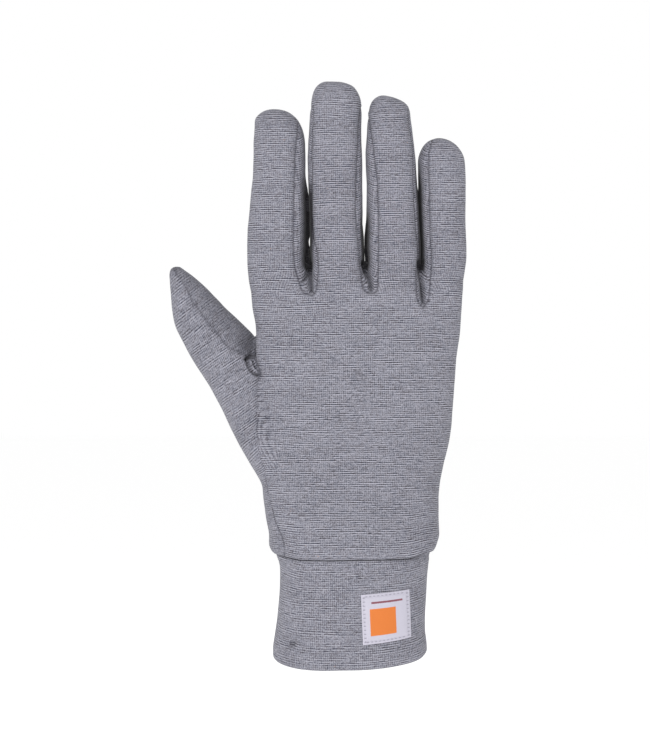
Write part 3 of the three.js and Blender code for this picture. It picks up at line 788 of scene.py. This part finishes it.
def finish_panel(obj, node, material):
    wall = obj.modifiers.new("wall", "SOLIDIFY")
    wall.thickness = KNIT_WALL
    wall.offset = -1
    wall.use_even_offset = False
    apply_modifiers(obj)
    knit_map(obj)
    obj.data.transform(Matrix.Scale(MM, 4))
    obj.data.shade_smooth()
    obj.data.set_sharp_from_angle(angle=math.radians(60))
    obj.data.materials.clear()
    obj.data.materials.append(material)
    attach(obj, "root")
    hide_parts(node)
    return obj


def arc_table(wide, deep, square):
    """Angles from the side of a section's quarter, and the way along it from the middle of its face."""
    t = np.linspace(0, math.pi / 2, 200)
    x, y = wide * np.cos(t) ** (2 / square), deep * np.sin(t) ** (2 / square)
    way = np.concatenate([[0], np.cumsum(np.hypot(np.diff(x), np.diff(y)))])
    return np.arctan2(y / deep, x / wide), way[-1] - way


def along_course(x, y, left, right, depth, centre, square, typical):
    """How far round its section each place lies, measured along the cloth."""
    middle, half = (left + right) / 2, (right - left) / 2
    turn = np.arctan2(np.abs(y - centre) / depth, np.abs(x - middle) / half)
    angles, way = arc_table(*typical, square)
    return middle + np.sign(x - middle) * np.interp(turn, angles, way)


def knit_map(obj):
    """Lays the knit's own map on a piece: along a course, and up the courses, in millimetres."""
    co = coordinates(obj.data)
    x, y, z = co.T
    left, right, back, palm = [line(z) for line in columns(HAND)]
    u = along_course(x, y, left, right, (palm - back) / 2, (palm + back) / 2, HAND_ROUND, (43, 17))
    v = z - (1 - smoothstep(46, 74, z)) * seam_line(x, y)
    lines = [line(np.clip(z, WEB_LOW, GAP_TOP)) for line in valleys()[0]]
    edges = [np.full(len(x), -99.0), *lines, np.full(len(x), 99.0)]
    for finger, low, high in zip(FINGERS.values(), edges, edges[1:]):
        left, right = [line(z) for line in columns(finger["rows"])]
        own = along_course(x, y, left, right, finger["depth"] / 2, finger["arch"] + bend_at(z), FINGER_ROUND,
                           (12.5, finger["depth"] / 2))
        share = smoothstep(158, 172, z) * (x > low) * (x <= high)
        u = u + (own - u) * share
    if obj.name.startswith("thumb"):
        tilt = np.radians(np.interp(z, [45, 60, 72, 84, 95, 172], [0, 8, 24, 34, 28, 26]))
        left, right, deep, centre = [line(z) for line in columns(THUMB)]
        middle = (left + right) / 2
        v = z - (x - middle) * np.tan(tilt)
        u = along_course(x, y, left, right, deep, centre, FINGER_ROUND, (15, 12)) - middle
    if obj.name.startswith("fourchette"):
        v = z - 0.55 * (y - split_at(z))
        u = y.copy()
    if obj.name.startswith("cuff"):
        v = (z - hem_line(x, y)) / (1 + (seam_line(x, y) - hem_line(x, y)) / CUFF_TOP)
        left, right, deep = [line(np.clip(v, -3, 46)) for line in columns(CUFF)]
        u = along_course(x, y, left, right, deep, 0, CUFF_ROUND, (CUFF_HALF, 22))
    layer = obj.data.uv_layers.new(name="knit")
    loops = np.empty(len(obj.data.loops), int)
    obj.data.loops.foreach_get("vertex_index", loops)
    layer.data.foreach_set("uv", np.stack([u, v], 1)[loops].ravel())


def cuff_section(z, inset=0.0):
    left, right, deep = columns(CUFF)
    return left(z) + inset, right(z) - inset, -deep(z) + inset, deep(z) - inset, CUFF_ROUND


def hem_line(x, y):
    return HEM_MIDDLE + HEM_RISE * x / CUFF_HALF + np.where(y < 0, HEM_FRONT, HEM_REAR) * y / 22.5


def seam_hook(x):
    """How much the cuff's seam curves up towards its two ends."""
    return SEAM_HOOK * smoothstep(0.68, 1.0, np.abs(x - SEAM_MIDDLE) / CUFF_HALF)


def seam_line(x, y):
    return SEAM_LIFT + SEAM_TILT * (x - SEAM_MIDDLE) + SEAM_DROP * y + seam_hook(x)


def cuff_rise(x, y, z):
    """How far the band's level lines are lifted: bent at the hem, and tilted as the seam is at the top."""
    share = 1 - z / CUFF_TOP
    return share * hem_line(x, y) + (1 - share) * seam_line(x, y)


def cuff_piece(material):
    """The folded double band: up its outer face, in at the seam, down inside and round the hem."""
    bm = bmesh.new()
    outer = [(0.0, z) for z in np.linspace(1.6, CUFF_TOP - 1.2, 56)]
    top = [(0.12, CUFF_TOP - 0.5), (0.5, CUFF_TOP - 0.12), (CUFF_WALL - 0.7, CUFF_TOP - 0.12)]
    inner = [(CUFF_WALL, z) for z in np.linspace(CUFF_TOP - 1.4, 1.8, 28)]
    middle = CUFF_WALL / 2
    hem = [(CUFF_WALL - 0.5, 0.55), (middle + 0.35, 0.1), (middle - 0.35, 0.1), (0.5, 0.5), (0.13, 1.0)]
    ring = first = bmesh.ops.create_circle(bm, segments=200, radius=1)["verts"]
    turns = [math.atan2(v.co.y, v.co.x) for v in ring]
    for k, (inset, z) in enumerate(outer + top + inner + hem):
        if k:
            ring = next_ring(bm, ring)
        section = cuff_section(z, inset)
        for v, turn in zip(ring, turns):
            x, y = around(section, turn)
            v.co = (x, y, z + cuff_rise(x, y, z))
    bmesh.ops.bridge_loops(bm, edges=edges_of(first) + edges_of(ring))
    bmesh.ops.recalc_face_normals(bm, faces=bm.faces)
    bm.normal_update()
    inside = bm.verts.layers.float.new("painted_shade")
    for v in bm.verts:
        x, y, z = v.co
        across = x - DENT_PLACE[0]
        up = z - DENT_PLACE[1] - DENT_SLANT * across
        fold = math.exp(-(across / 1.9) ** 2 - (up / 1.1) ** 2) if y < 0 else 0
        swell = 0.3 * noise.noise(Vector((x, y, z)) / 13 + Vector((4, 1, 7)))
        pull = math.exp(-((z - CUFF_TOP) / 1.0) ** 2)
        side_seam = math.exp(-((y - SPLIT_SHIFT) / 0.7) ** 2) if x > 0 else 0
        # Painted shade: the dent is darkened where its shadow falls, besides being pressed in
        v[inside] = 0.6 * fold
        v.co += v.normal * (swell - DENT_DEPTH * fold - 0.3 * pull - 0.4 * side_seam)
    obj = object_of(bm, "cuff_cloth")
    knit_map(obj)
    obj.data.transform(Matrix.Scale(MM, 4))
    for polygon in obj.data.polygons:
        polygon.use_smooth = True
    obj.data.materials.append(material)
    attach(obj, "root")
    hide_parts("cuff")
    return obj


def on_label(across, up, out):
    """A place on the label, or above it by out, from its own square corners."""
    left, right, deep = columns(CUFF)
    x = LABEL_ACROSS[0] + across - LABEL_TILT * (up - 10)
    z = LABEL_HEIGHTS[0] + up + LABEL_TILT * across
    half, middle = (right(z) - left(z)) / 2, (right(z) + left(z)) / 2
    share = (x - middle) / half
    y = -deep(z) * (1 - abs(share) ** CUFF_ROUND) ** (1 / CUFF_ROUND)
    facing = Vector((math.copysign(abs(share) ** (CUFF_ROUND - 1), share) / half,
                     -(abs(y / deep(z)) ** (CUFF_ROUND - 1)) / deep(z), 0)).normalized()
    return Vector((x, y, z + cuff_rise(x, y, z))) + facing * (out + 0.12)


def label_piece(material, thread):
    """The woven label, bent round the cuff's face, and the thread that holds it."""
    wide, high = LABEL_ACROSS[1] - LABEL_ACROSS[0], LABEL_HEIGHTS[1] - LABEL_HEIGHTS[0]
    bm = bmesh.new()
    bmesh.ops.create_grid(bm, x_segments=80, y_segments=80, size=0.5)
    made = bmesh.ops.extrude_face_region(bm, geom=list(bm.faces))["geom"]
    lifted = {v for v in made if isinstance(v, bmesh.types.BMVert)}
    flat = {}
    for v in bm.verts:
        across, up = (v.co.x + 0.5) * wide, (v.co.y + 0.5) * high
        flat[v] = (across, up)
        edge = min(across, wide - across, up, high - up)
        held = math.exp(-((edge - LABEL_HEM) / 0.35) ** 2)
        swell = 0.35 * (1 - math.exp(-(edge / 2.5) ** 2)) + 0.12 * noise.noise(Vector((across, up, 3)) / 5)
        lift = LABEL_THICKNESS * (0.75 if edge < 0.15 else 1) + swell - 0.2 * held
        v.co = on_label(across, up, lift if v in lifted else 0)
    bmesh.ops.recalc_face_normals(bm, faces=bm.faces)
    weave = bm.loops.layers.uv.new("weave")
    for f in bm.faces:
        for loop in f.loops:
            loop[weave].uv = flat[loop.vert]
    obj = object_of(bm, "cuff_label_woven")
    obj.data.transform(Matrix.Scale(MM, 4))
    obj.data.shade_smooth()
    obj.data.set_sharp_from_angle(angle=math.radians(50))
    obj.data.materials.append(material)
    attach(obj, "root")
    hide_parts("cuff_label")

    bm = bmesh.new()
    places = [(side, up, (0.62, 0.15)) for side in (LABEL_HEM, wide - LABEL_HEM)
              for up in np.arange(1.1, high - 0.6, 1.63)]
    places += [(across, side, (0.55, 0.14)) for side in (LABEL_HEM * 0.8, high - LABEL_HEM * 0.8)
               for across in np.arange(2.2, wide - 1.6, 1.7)]
    for across, up, (long, thick) in places:
        stitch = bmesh.ops.create_uvsphere(bm, u_segments=8, v_segments=6, radius=1)["verts"]
        for v in stitch:
            out = LABEL_THICKNESS + 0.06 + v.co.z * 0.14
            v.co = on_label(across + v.co.x * long, up + v.co.y * thick, out)
    bmesh.ops.recalc_face_normals(bm, faces=bm.faces)
    obj = object_of(bm, "cuff_label_stitches")
    obj.data.transform(Matrix.Scale(MM, 4))
    obj.data.shade_smooth()
    obj.data.materials.append(thread)
    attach(obj, "root")
    return obj


def plain(name, color, roughness):
    material = bpy.data.materials.new(name)
    material.use_nodes = True
    shader = material.node_tree.nodes["Principled BSDF"]
    shader.inputs["Base Color"].default_value = (*color, 1)
    shader.inputs["Roughness"].default_value = roughness
    return material


class Maker:
    """Short ways to lay out a material's nodes."""

    def __init__(self, material):
        self.tree = material.node_tree
        self.shader = self.tree.nodes["Principled BSDF"]

    def node(self, kind, *inputs, **settings):
        made = self.tree.nodes.new(kind)
        for name, value in settings.items():
            setattr(made, name, value)
        for socket, value in zip(made.inputs, inputs):
            if isinstance(value, bpy.types.NodeSocket):
                self.tree.links.new(value, socket)
            elif value is not None:
                socket.default_value = value
        return made

    def math(self, operation, *inputs):
        return self.node("ShaderNodeMath", *inputs, operation=operation).outputs[0]

    def add(self, a, b):
        return self.math("ADD", a, b)

    def times(self, a, b):
        return self.math("MULTIPLY", a, b)

    def place(self, x, y, z=0.0):
        return self.node("ShaderNodeCombineXYZ", x, y, z).outputs[0]

    def noise(self, place, scale=1.0, detail=2.0):
        made = self.node("ShaderNodeTexNoise", place)
        made.inputs["Scale"].default_value = scale
        made.inputs["Detail"].default_value = detail
        return made.outputs["Fac"]

    def ramp(self, value, low, high, start=0.0, end=1.0):
        made = self.node("ShaderNodeMapRange", value, low, high, start, end, interpolation_type="SMOOTHSTEP")
        return made.outputs[0]

    def mix(self, share, a, b):
        made = self.node("ShaderNodeMix", data_type="RGBA")
        for socket, value in zip((made.inputs[0], made.inputs[6], made.inputs[7]), (share, a, b)):
            if isinstance(value, bpy.types.NodeSocket):
                self.tree.links.new(value, socket)
            else:
                socket.default_value = value
        return made.outputs[2]

    def bump(self, height, strength, distance):
        made = self.node("ShaderNodeBump")
        made.inputs["Strength"].default_value = strength
        made.inputs["Distance"].default_value = distance
        self.tree.links.new(height, made.inputs["Height"])
        self.tree.links.new(made.outputs[0], self.shader.inputs["Normal"])

    def map_of(self, name):
        map_node = self.node("ShaderNodeUVMap", uv_map=name)
        parts = self.node("ShaderNodeSeparateXYZ", map_node.outputs[0])
        return parts.outputs[0], parts.outputs[1]


def knit_material(name, contrast, shade=1.0):
    """Fine courses of pale and charcoal yarn, broken into dashes, on a brushed matte face."""
    material = plain(name, (0.28, 0.28, 0.33), 0.95)
    m = Maker(material)
    u, v = m.map_of("knit")
    here = m.node("ShaderNodeTexCoord").outputs["Object"]
    parts = m.node("ShaderNodeSeparateXYZ", here).outputs
    x, y = m.times(parts[0], 1000.0), m.times(parts[1], 1000.0)
    cloth = m.place(x, y, v)
    waver = m.noise(m.place(m.times(x, 0.035), m.times(y, 0.035), m.times(v, 0.05)), 1.0, 1.0)
    course = m.math("DIVIDE", m.add(v, m.times(waver, 2.0)), COURSE)
    number = m.math("FLOOR", course)
    wave = m.math("SINE", m.times(course, 2 * math.pi))
    stripe = m.ramp(wave, -0.55, 0.55, -1.0, 1.0)
    dash = m.noise(m.place(m.times(x, 0.24), m.times(y, 0.24), m.times(number, 5.3)), 1.0, 4.0)
    strength = m.ramp(dash, 0.38, 0.64, 0.15, 1.0)
    heather = m.add(m.noise(cloth, 1.9, 4.0), -0.5)
    streak = m.add(m.noise(m.place(m.times(x, 0.3), m.times(y, 0.3), m.times(v, 1.7)), 1.0, 3.0), -0.5)
    wale = m.math("SINE", m.times(u, 2 * math.pi / WALE))
    drift = m.noise(m.place(m.times(x, 0.06), m.times(y, 0.06), m.times(v, 0.08)), 1.0, 1.0)
    group = m.math("SINE", m.add(m.times(v, 2 * math.pi / GROUP), m.times(drift, 9.0)))
    strength = m.times(strength, m.add(m.times(group, 0.42), 0.8))
    value = m.add(m.times(m.times(stripe, strength), 0.37 * contrast), 0.5)
    value = m.add(value, m.times(heather, 1.15))
    value = m.add(value, m.times(streak, 0.4))
    value = m.add(value, m.times(wale, 0.09))
    broad = m.noise(m.place(m.times(x, 0.05), m.times(y, 0.05), m.times(v, 0.16)), 1.0, 3.0)
    value = m.add(value, m.times(m.add(broad, -0.5), 0.22))
    dark, ink, pale = [tuple(c * shade for c in tint[:3]) + (1,) for tint in (CHARCOAL, INK, PALE)]
    tint = m.ramp(m.noise(cloth, 0.5, 2.0), 0.4, 0.6)
    colour = m.mix(m.ramp(value, 0.0, 1.0), m.mix(tint, dark, ink), pale)
    fleck = m.ramp(m.noise(cloth, 0.8, 1.0), 0.79, 0.83)
    colour = m.mix(m.times(fleck, 0.7), colour, FLECK)
    sewn = m.node("ShaderNodeAttribute", attribute_name="seam").outputs["Fac"]
    colour = m.mix(m.times(sewn, 0.62), colour, SEAM_TINT)
    # Painted shade: near-black laid over the finger gaps, the deeper folds, the thumb's crotch and the cuff's
    # dent, where shade falls
    painted_shade_share = m.node("ShaderNodeAttribute", attribute_name="painted_shade").outputs["Fac"]
    colour = m.mix(m.times(painted_shade_share, 0.94), colour, PAINTED_SHADE_TINT)
    m.tree.links.new(colour, m.shader.inputs["Base Color"])
    fuzz = m.noise(cloth, 4.0, 3.0)
    height = m.add(m.times(stripe, 0.35), m.add(m.times(wale, 0.15), fuzz))
    m.bump(height, 0.5, 0.00018)
    m.shader.inputs["Sheen Weight"].default_value = 0.12
    m.shader.inputs["Sheen Roughness"].default_value = 0.5
    m.shader.inputs["Specular IOR Level"].default_value = 0.15
    return material


def label_material():
    """White woven satin with a plain orange block and one thin maroon line."""
    material = plain("label_satin", SATIN, 0.55)
    m = Maker(material)
    s, t = m.map_of("weave")
    ragged = m.times(m.add(m.noise(m.place(s, t), 3.0, 2.0), -0.5), 0.25)

    def band(value, low, high):
        value = m.add(value, ragged)
        start = m.ramp(value, low - 0.06, low + 0.06)
        return m.times(start, m.ramp(value, high - 0.06, high + 0.06, 1.0, 0.0))

    block = m.times(band(s, 3.4, 14.4), band(t, 3.3, 14.3))
    line = m.times(band(s, 4.2, 17.4), band(t, 16.4, 17.2))
    thread = m.math("SINE", m.times(t, 2 * math.pi / 0.33))
    grain = m.add(m.noise(m.place(m.times(s, 0.8), m.times(t, 4.0)), 1.0, 3.0), -0.5)
    tone = m.add(m.times(thread, 0.04), m.times(grain, 0.35))
    white = m.mix(m.add(0.5, tone), SATIN_LOW, SATIN_HIGH)
    colour = m.mix(line, white, MAROON)
    twill = m.math("SINE", m.times(m.add(s, t), 2 * math.pi / 0.7))
    sheen = m.add(m.add(0.5, m.times(tone, 1.4)), m.times(twill, 0.25))
    orange = m.mix(sheen, ORANGE_LOW, ORANGE)
    colour = m.mix(block, colour, orange)
    m.tree.links.new(colour, m.shader.inputs["Base Color"])
    m.bump(m.add(thread, m.times(block, 2.0)), 0.4, 0.00005)
    m.shader.inputs["Sheen Weight"].default_value = 0.1
    return material


knit = knit_material("heather_knit", 1.0)
cuff_knit = knit_material("heather_knit_cuff", 0.72)
thumb_knit = knit_material("heather_knit_thumb", 0.6, 0.97)
inside_knit = knit_material("heather_knit_thumb_inside", 0.35, 0.8)
sewn_knit = {"thumb_outer": thumb_knit, "thumb_inner": inside_knit}
white = label_material()
for name, obj in main_panels().items():
    finish_panel(obj, name, sewn_knit.get(name, knit))
cuff_piece(cuff_knit)
label_piece(white, plain("label_thread", THREAD, 0.7))

# Camera, light and floor
camera_data = bpy.data.cameras.new("camera")
camera_data.lens = CAMERA_LENS
camera_data.sensor_width = 36
camera = bpy.data.objects.new("camera", camera_data)
camera.location = CAMERA_PLACE
camera.rotation_euler = (math.radians(90), 0, 0)
bpy.context.scene.collection.objects.link(camera)
bpy.context.scene.camera = camera

world = bpy.data.worlds.new("studio")
world.use_nodes = True
tree = world.node_tree
air = tree.nodes["Background"]
air.inputs["Color"].default_value = (1, 1, 1, 1)
air.inputs["Strength"].default_value = AMBIENT
backdrop = tree.nodes.new("ShaderNodeBackground")
backdrop.inputs["Color"].default_value = (1, 1, 1, 1)
backdrop.inputs["Strength"].default_value = 1.0
seen = tree.nodes.new("ShaderNodeLightPath")
either = tree.nodes.new("ShaderNodeMixShader")
tree.links.new(seen.outputs["Is Camera Ray"], either.inputs[0])
tree.links.new(air.outputs[0], either.inputs[1])
tree.links.new(backdrop.outputs[0], either.inputs[2])
tree.links.new(either.outputs[0], tree.nodes["World Output"].inputs["Surface"])
bpy.context.scene.world = world
bpy.context.scene.view_settings.view_transform = "Standard"

bm = bmesh.new()
bmesh.ops.create_grid(bm, x_segments=1, y_segments=1, size=8)
floor = object_of(bm, "floor")
floor.data.transform(Matrix.Translation((0, 0, FLOOR_HEIGHT)))
paper = plain("floor_paper", (0.9, 0.9, 0.9), 0.9)
paper_shader = paper.node_tree.nodes["Principled BSDF"]
paper_shader.inputs["Emission Color"].default_value = (1, 1, 1, 1)
paper_shader.inputs["Emission Strength"].default_value = FLOOR_GLOW
floor.data.materials.append(paper)


def soft_light(name, place, size, watts):
    data = bpy.data.lights.new(name, "AREA")
    data.energy = watts
    data.size = size
    lamp = bpy.data.objects.new(name, data)
    lamp.location = place
    lamp.rotation_euler = (Vector((0, 0, 0.12)) - lamp.location).to_track_quat("-Z", "Y").to_euler()
    bpy.context.scene.collection.objects.link(lamp)


soft_light("front", (-0.35, -1.25, 0.5), 1.0, 8.0)
soft_light("rear", (0.5, 1.4, 0.7), 1.0, 3.0)
